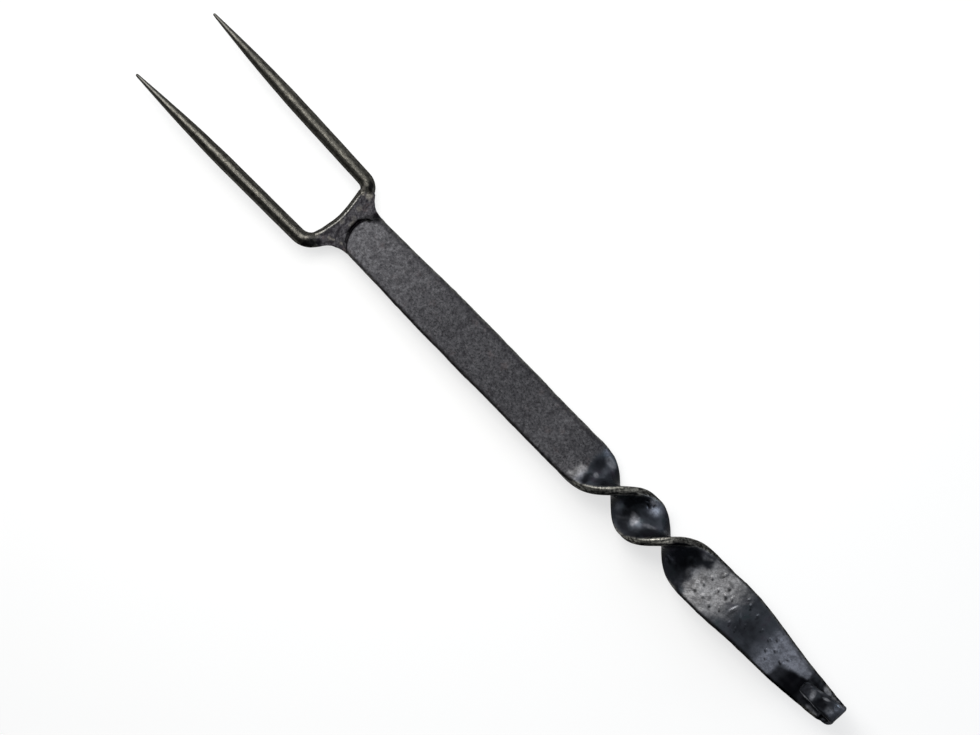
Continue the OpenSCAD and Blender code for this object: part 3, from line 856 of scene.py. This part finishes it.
def bar_soot_and_shade(bar, shadow, lower_shade):
    """Black soot and painted shade: painted shade at the nose's wall, inside the hook, at the marks' feet,
    along the left edge and on the lower half of the bar on edge; the hook's painted shadow; dark cuts; and
    dark patches at the root, in the twist and on the hook, partly scale and partly painted shade.
    """
    at = bar.at
    inside_hook_shade = bar.front * fall((at - BEND_X - 16) / 5) * smooth((at - BEND_X) / 6)
    left_edge_shade = fall((bar.to_side - 0.45) / 0.5) * (bar.across < 0) * bar.is_wide * (1 - bar.twist)
    darks = (
        (1.0, bell(at - NOSE_X, 0.7)),
        (0.9, bar.patches(ROOT_DARK, bar.on_bar, 0.5) * (at < 0)),
        (0.85, bar.patches(TWIST_DARK, bar.on_bar) * (at < TWIST_DARK_END)),
        (0.95, shadow),
        (0.8, bar.hook * inside_hook_shade * (1 - bar.lit_leaf)),
        (0.9, bar.patches(HOOK_DARK, bar.on_band) * (1 - 0.9 * bar.lit_band)),
        (1.0, smooth(-3 * bar.cuts / CUT_DEPTH)),
        (1.0, bar.patches(MARK_FEET, bar.on_bar, 0.4)),
        (0.7, left_edge_shade * bar.facing_up * smooth((at + 46) / 16)),
        (0.85, lower_shade),
    )
    return sum(strength * dark for strength, dark in darks)


def bar_satin_and_sheen(bar, shadow):
    """Worn satin patches that carry painted reflections of the lamps, and painted highlights in the twist,
    on the leaf and on the hook.
    """
    satin = np.clip(bar.near_satin + bar.far_sheen, 0, 1) * (1 - 0.25 * smooth(bar.streaks * 1.6))
    satin = np.maximum(satin * (1 - 0.9 * shadow), bar.patches(TWIST_LIGHT, bar.on_bar))
    satin = np.maximum(satin, 0.95 * bar.lit_leaf) * (1 - bar.side)
    return np.maximum(satin, np.maximum(0.9 * bar.lit_band, 0.06 * bar.on_band))


def twist_edges(bar):
    """The painted highlight on the upper half and the painted shade on the lower half of the bar on edge,
    and the wear of its corners.
    """
    n, twist = bar.noise, bar.twist
    half_up = -bar.through * np.sin(bar_turn(bar.at)) / bar.half_t
    upper = smooth((half_up + 0.25 + 0.5 * n(1.6, 53)) / 0.6)
    lower = smooth((-half_up - 0.25 + 0.4 * n(1.2, 59)) / 0.4)
    past_crossing = smooth((bar.plan[1] - 5.8) / 2.4)
    first_band = fall((bar.at - FIRST_BAND_END) / 6)
    bright = twist * upper * (1 - 0.75 * past_crossing) * bar.facing_up * (1 - 0.35 * first_band)
    worn = 0.1 * bar.shank + 1.15 * twist * (1 - 0.7 * past_crossing) * (1 - 0.5 * first_band)
    worn = (worn + 0.1 * bar.leaf) * (1 - bar.hook)
    return bright, twist * bar.side * lower * bar.facing_up, worn


def bar_looks(bar):
    """Values that steer the bar's material."""
    at, n = bar.at, bar.noise
    shadow = hook_shadow(bar)
    bright, lower_shade, worn = twist_edges(bar)
    corner = bell(bar.to_side, 1.4) * bell(bar.half_t - np.abs(bar.through), 1.4)
    # Rubbed corners are wear; the band's light patches add painted highlights
    rub = corner * worn * mix(0.35, 1, bar.facing_up) + bar.patches(BAND_LIGHT, bar.on_bar)
    border_w = np.where(bar.across > 0, 1.5, 0.5)
    border = fall((bar.to_side - border_w) / 0.9) * bar.is_wide * (1 - 0.7 * bell(at - 141.5, 10))
    low = hollows(bar.grain) * bar.shank + 0.6 * smooth(-3 * bar.marks / MARK_RISE)
    blue = smooth((at - BLUE_X) / 6) * (1 - 0.6 * smooth((at - 188) / 4))
    return {
        "gloss": bar.twist + bar.hook + bar.leaf,
        "satin": bar_satin_and_sheen(bar, shadow),
        "blue": np.maximum(blue, 0.5 * bar.twist),
        "rub": rub * (0.3 + 0.7 * smooth(0.5 + 0.9 * n(1.6, 51))),
        "side": bar.side * (1 - bar.hook),
        "bright": bright,
        # Black soot together with painted shade and the hook's painted shadow
        "soot": bar_soot_and_shade(bar, shadow, lower_shade),
        "low": low + border * (0.45 + 0.55 * smooth(0.5 + n(1.1, 56))),
        "far": smooth((at + 58) / 62) - 0.5 * bell(at - 52, 14),
    }


def make_handle(material):
    """The forged bar, which is shank, twist, leaf and hook in one."""
    bar = Bar()
    vertices, faces = closed_skin(bar.points)
    ob = new_object("bar_forged", inside_cad(vertices), faces, material)
    set_attributes(ob, {name: spread(values) for name, values in bar_looks(bar).items()})
    return ob


def remeshed(node, voxel):
    """Vertices, faces and edges of a CAD node in close even quads."""
    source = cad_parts[node]
    copy = linked("remesh_source", source.data.copy())
    modifier = copy.modifiers.new("remesh", "REMESH")
    modifier.mode = "VOXEL"
    modifier.voxel_size = voxel * MM
    evaluated = copy.evaluated_get(bpy.context.evaluated_depsgraph_get())
    mesh = bpy.data.meshes.new_from_object(evaluated)
    vertices = np.array([v.co[:] for v in mesh.vertices]) / MM
    faces = [p.vertices[:] for p in mesh.polygons]
    edges = np.array([e.vertices[:] for e in mesh.edges])
    bpy.data.objects.remove(copy)
    bpy.data.meshes.remove(mesh)
    return vertices, faces, edges


def vertex_normals(vertices, faces):
    """Outward normals at the corners of quads."""
    corners = np.array(faces).T
    a, b, c, d = (vertices[corner] for corner in corners)
    total = np.zeros_like(vertices)
    for corner in corners:
        np.add.at(total, corner, np.cross(c - a, d - b))
    return total / np.maximum(np.linalg.norm(total, axis=1, keepdims=True), 1e-12)


def crotch_line():
    """Points along the inner edge of the yoke, from the left tine to the right one."""
    line = []
    for side, r, arc in ((-1, LEFT_ROOT_R, LEFT_ARC), (1, RIGHT_ROOT_R, RIGHT_ARC)):
        t = math.radians(arc)
        arc_r = (TINE_SPAN / 2 - r * (1 - math.sin(t))) / math.sin(t)
        for b in np.radians(np.arange(0, 70, 1.0)):
            b1, b2 = min(b, t), max(b, t)
            x = YOKE_X - arc_r * (1 - math.cos(b1)) - r * (math.cos(t) - math.cos(b2))
            y = YOKE_SHIFT + side * (arc_r * math.sin(b1) + r * (math.sin(b2) - math.sin(t)))
            share = smooth((math.degrees(b) - math.degrees(t) * 0.4) / 22)
            half = mix(YOKE_W, ROD_D, share) / 2
            line.append((x - half * math.cos(b), y - half * side * math.sin(b)))
    return np.array(line)


def distance_to(points, line):
    """Plan distance from each point to the nearest of a line's points."""
    best = np.full(len(points), 1e9)
    for place in line:
        best = np.minimum(best, np.hypot(points[:, 0] - place[0], points[:, 1] - place[1]))
    return best


def crevice(points):
    """How far the crevice reaches down at each point, from 0 to 1, and how dark it is there: soot, and
    painted shade in the crevice.

    It follows the foot of the bar's nose, where the weld left it open.
    """
    along = np.linspace(*CREVICE_ENDS, 40)
    path = np.concatenate([np.stack([nose_front(along) - NOSE_SET * 0.8, along], -1), CREVICE_TAIL])
    groove = bell(distance_to(points, path) + 0.22 * noise(points, 1.1, 66), CREVICE_W)
    return groove, 0.9 * np.minimum(groove * 2.2, 1) * (1 - 0.25 * smooth((-1 - points[:, 1]) / 3))


def make_tines(material):
    """The rod: two tines, the hammered yoke between them, and the tongue under the bar."""
    vertices, faces, edges = remeshed("tines", TINE_VOXEL)
    vertices = taubin(vertices, edges, 8)
    normals = vertex_normals(vertices, faces)
    x, y, z = vertices.T
    from_crotch = distance_to(vertices, crotch_line())
    flat = smooth((x - YOKE_FINISH_X) / 4) * fall((np.abs(y - 1.2 * (y < 0)) - 9.5) / 5)
    right_end = 0.6 * (x + 64.9) - 0.8 * (y - 12.6)
    left_end = 0.5 * (x + 65.5) + 0.87 * (y + 14.2)
    yoke = smooth((x - YOKE_FINISH_X) / 4) * smooth(right_end / 0.8 + 0.5) * smooth(left_end / 1.2 + 0.5)
    tip = fall((x + 158) / 26)

    # The crotch keeps a rounded rim, where the hammer didn't reach the rod
    round_off = np.clip(1 - from_crotch / RIM_R, 0, 1)
    top_share = smooth((z - 1.0) / 1.2)
    vertices[:, 2] -= flat * top_share * RIM_R * 0.75 * (1 - np.sqrt(1 - round_off**2))
    # Along the rim lies a painted highlight line, with a painted dark line at its foot
    rim = smooth((x - RIM_X) / 4) * fall((np.abs(y) - np.where(y > 0, 8, 9)) / 3.2)
    rim_foot_shade = rim * bell(from_crotch - 2.0, 0.45)
    rim = rim * smooth((from_crotch - 1.0) / 0.25) * fall((from_crotch - 1.4) / 0.3)
    yoke = yoke * smooth((from_crotch - 1.5) / 0.4)

    relief = 0.05 * noise(vertices, 7, 61) + 0.03 * noise(vertices * (0.35, 1, 1), 1.6, 62)
    relief = relief * (1 - 0.7 * tip)
    grain = 0.035 * noise(vertices, 1.2, 64) + 0.03 * noise(vertices, 0.8, 65)
    c, s = math.cos(HAMMER_TURN), math.sin(HAMMER_TURN)
    hammered = np.stack([(x * c + y * s) * 0.4, y * c - x * s, z], -1)
    relief += yoke * (0.18 * noise(hammered, 2.0, 63) + grain)
    hidden = (x > NOSE_X + 1) & (z > YOKE_T - 0.4) & (np.abs(y) < 8)
    relief = np.where(hidden, -0.02, relief)
    vertices = vertices + normals * relief[:, None]

    x, y, z = vertices.T
    groove, crevice_soot_and_shade = (depth * smooth((z - 1.6) / 0.8) for depth in crevice(vertices))
    vertices[:, 2] -= CREVICE_DEPTH * groove
    vertices = inside_cad(vertices)
    on_top = smooth((z - 1.0) / 1.5)
    blur = 0.3 * noise(vertices, 1.2, 67)
    # Dark patches of the roots, partly soot and partly painted shade, and painted light on the roots
    patches = soft_spots(x, y, ROOT_DARK, blur) * on_top
    lit = soft_spots(x, y, ROOT_LIGHT, blur) * on_top
    ob = new_object("tines_forged", vertices, faces, material)
    looks = {
        "yoke": yoke,
        "pale": tip * 0.8,
        "rim": rim,
        "low": hollows(grain),
        "light": lit,
        "matt": 0.8 * smooth(y / 4) * (x < -66) + 0.5 * fall((x + 145) / 26),
        "soot": crevice_soot_and_shade + 0.9 * patches + 0.4 * rim_foot_shade,
    }
    set_attributes(ob, looks)
    return ob


def make_weld(side, corner, height, dark, name, material, seed):
    """A puddle of weld metal in a corner of the nose, which runs out over the yoke."""
    corner_y = float(bar_width(np.array(NOSE_X + corner))) / 2 - WELD_W * 0.45
    ends = [(NOSE_X + corner * (0.25 + 0.6 * e), side * (corner_y - corner * 0.5 * (1 - e))) for e in (0, 1)]
    middle, half = np.mean(ends, 0), (np.array(ends[1]) - ends[0]) / 2
    turns = np.linspace(0, 2 * np.pi, WELD_POINTS, endpoint=False)
    out = np.stack([np.cos(turns), np.sin(turns)], -1)
    lean = np.clip(out @ half / np.linalg.norm(half) * 1.6, -1, 1)[:, None]
    reach = np.where(side * out[:, 1:] > 0, WELD_OUTER, 1.0) * (0, 1) + (1, 0)
    rim = half * lean + (WELD_W / 2 + WELD_SKIRT) * out * reach
    shares = np.linspace(0, 1, WELD_RINGS)[1:]
    plan = np.concatenate([[middle], *(middle + share * rim for share in shares)])
    share = np.concatenate([[0], np.repeat(shares, WELD_POINTS)])
    place = np.column_stack([plan, plan[:, 0] * 0])
    lumps = 0.22 * noise(place, 1.6, seed) + 0.08 * noise(place, 0.7, seed + 1)
    top = YOKE_T - WELD_SINK + (height + lumps) * (1 - share**2) ** 2
    groove, crevice_soot_and_shade = crevice(place)
    upper = np.column_stack([plan, top - CREVICE_DEPTH * groove])
    skirt = upper[-WELD_POINTS:] - (0, 0, WELD_SINK)
    base = np.array([[*middle, YOKE_T - 3 * WELD_SINK]])
    vertices = np.concatenate([upper, skirt, base])
    count, last = WELD_POINTS, len(vertices) - 1
    nexts = [(k, (k + 1) % count) for k in range(count)]
    faces = [(0, 1 + k, 1 + step) for k, step in nexts]
    for ring in range(WELD_RINGS - 1):
        a, b = 1 + ring * count, 1 + (ring + 1) * count
        faces += [(a + k, b + k, b + step, a + step) for k, step in nexts]
    faces += [(last - count + k, last, last - count + step) for k, step in nexts]
    ob = new_object(name, inside_cad(vertices), faces, material)
    fade = np.concatenate([fall((share - 0.45) / 0.4), np.zeros(count + 1)])
    # Painted shade in the crevice, and the root's dark patches, partly soot and partly painted shade
    patches = soft_spots(plan[:, 0], plan[:, 1], ROOT_DARK, 0.3 * noise(place, 1.2, 67))
    shade = crevice_soot_and_shade + 0.9 * patches
    set_attributes(ob, {"dark": dark * fade, "soot": np.concatenate([shade, shade[-count:], [0.9]])})
    return ob


def area_light(name, place, size, power, colour, aim):
    """Soft rectangular lamp, aimed at a point, that the camera doesn't see."""
    data = bpy.data.lights.new(name, "AREA")
    data.shape = "RECTANGLE"
    data.size, data.size_y = size
    data.energy = power
    data.color = colour
    ob = linked(name, data)
    place = Vector(place)
    z_axis = -(Vector(aim) - place).normalized()
    y_axis = (Vector((0, 1, 0)) - z_axis * z_axis.y).normalized()
    stand(ob, place, (y_axis.cross(z_axis), y_axis, z_axis))
    ob.visible_camera = False


def make_camera():
    """Straight above the fork, turned as the photograph is, with a long lens."""
    data = bpy.data.cameras.new("camera")
    data.lens = LENS
    data.sensor_width = SENSOR
    data.clip_start, data.clip_end = 0.01, 100
    width = IMAGE_W * MM_PER_PIXEL * MM
    distance = width / 2 / (SENSOR / 2 / LENS)
    camera = linked("camera", data)
    turn = math.radians(FORK_ANGLE)
    right, up = (math.cos(turn), math.sin(turn), 0), (-math.sin(turn), math.cos(turn), 0)
    stand(camera, Vector((VIEW_X * MM, VIEW_Y * MM, distance + MID_Z * MM)), (right, up, (0, 0, 1)))
    bpy.context.scene.camera = camera


def make_floor():
    """White table top under the lowest point of the fork, with a faint shadow."""
    corners = [(x * FLOOR_HALF, y * FLOOR_HALF, CAD_LOW.z) for x, y in ((-1, -1), (1, -1), (1, 1), (-1, 1))]
    mesh = bpy.data.meshes.new("floor")
    mesh.from_pydata(corners, [], [(0, 1, 2, 3)])
    floor = linked("floor", mesh)
    material, n = new_material("floor_white")
    rays = n.add("LightPath").outputs
    seen = rays["Is Camera Ray"]
    for ray in ("Is Glossy Ray", "Is Transmission Ray"):
        seen = n.math("MAXIMUM", seen, rays[ray])
    glow = n.add("Emission", (1, 1, 1), n.math("MULTIPLY", seen, FLOOR_LIFT))
    both = n.add("AddShader", n.add("BsdfDiffuse", FLOOR_GREY).outputs[0], glow.outputs[0])
    n.add("OutputMaterial", both.outputs[0])
    mesh.materials.append(material)


def make_room():
    """A dim room: pale overhead and on the windows' side, darker on the other side."""
    world = bpy.data.worlds.new("room")
    world.use_nodes = True
    n = Nodes(world.node_tree)
    background = world.node_tree.nodes["Background"]
    axes = n.add("SeparateXYZ", n.add("TexCoord").outputs["Generated"])
    strength = n.remap(axes.outputs["Y"], *ROOM_FALL, ROOM_DARK, ROOM_PALE)
    strength.node.interpolation_type = "SMOOTHSTEP"
    n.put(ROOM_COLOUR, background.inputs["Color"])
    n.put(strength, background.inputs["Strength"])
    bpy.context.scene.world = world


def make_light():
    """A soft box over the tines, a small lamp right above them, a low cool window, and the room."""
    for name, lamp in LAMPS.items():
        area_light(name, *lamp)
    make_room()
    bpy.context.scene.view_settings.view_transform = "Standard"


bar = make_handle(bar_steel())
tines = make_tines(rod_steel())
weld_material = weld_steel()
left = make_weld(-1, LEFT_CORNER, WELD_LEFT_H, 0.1, "weld_lump_left", weld_material, 71)
right = make_weld(1, CLIP_RIGHT, WELD_RIGHT_H + WELD_LAP, 0.3, "weld_lump_right", weld_material, 81)

for piece, node, finish in (
    (bar, "handle", "handle_steel"),
    (tines, "tines", "tine_steel"),
    (left, "weld_left", "weld_metal"),
    (right, "weld_right", "weld_metal"),
):
    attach(piece, "root")
    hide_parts(node)

make_floor()
make_light()
make_camera()
